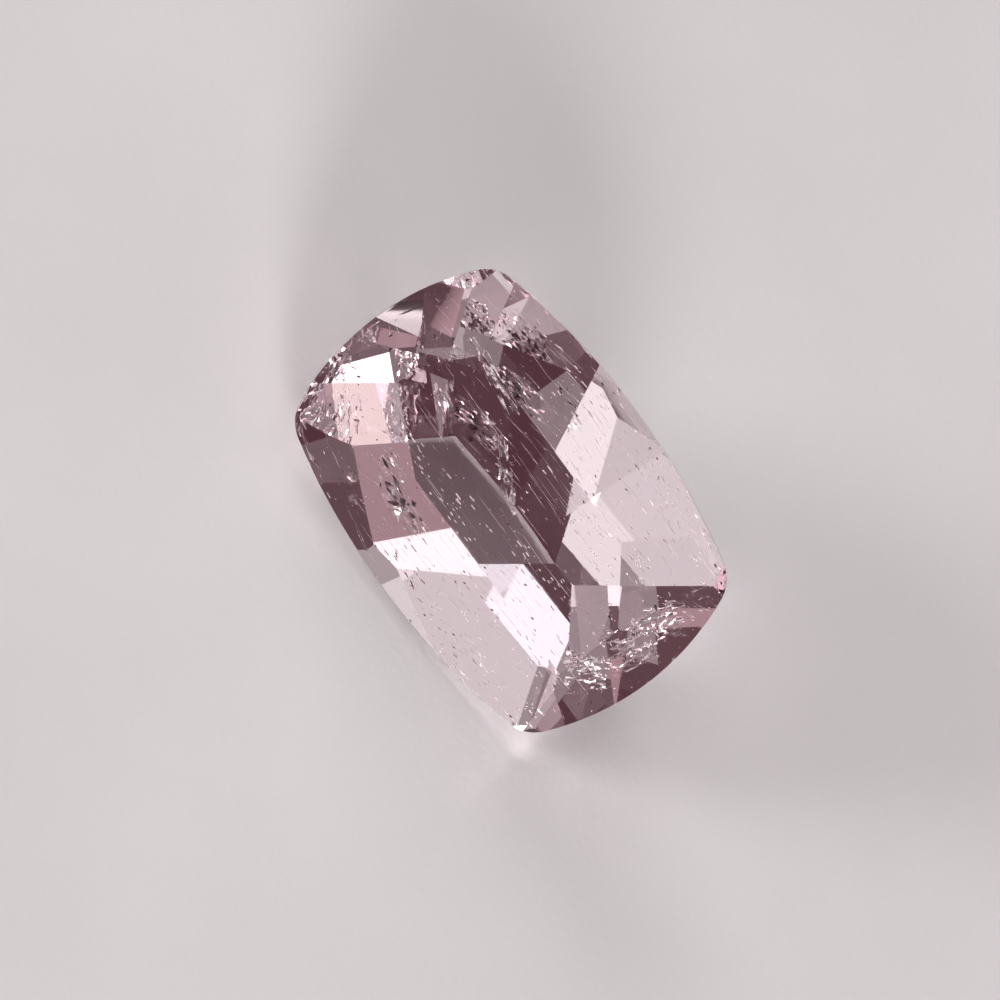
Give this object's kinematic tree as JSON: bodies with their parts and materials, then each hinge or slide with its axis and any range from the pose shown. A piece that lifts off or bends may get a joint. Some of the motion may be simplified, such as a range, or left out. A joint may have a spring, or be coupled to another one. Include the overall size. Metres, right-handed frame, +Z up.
{
  "type": "faceted kunzite gemstone",
  "caption": "Elongated cushion-cut kunzite gemstone, clear lilac-pink, lying on a long pavilion facet with its table turned up and forward.",
  "frame": {"origin": "on the surface that the stone lies on, under the middle of its bounding box", "axes": "+X along the stone's length; +Z up; the table faces up and towards -Y; the long pavilion facet lies on the ground"},
  "size_m": [0.0148, 0.0078, 0.0069],
  "materials": {
    "kunzite": "polished, transparent, pale lilac pink"
  },
  "bodies": {
    "root": {"kunzite": "kunzite"}
  },
  "joints": []
}
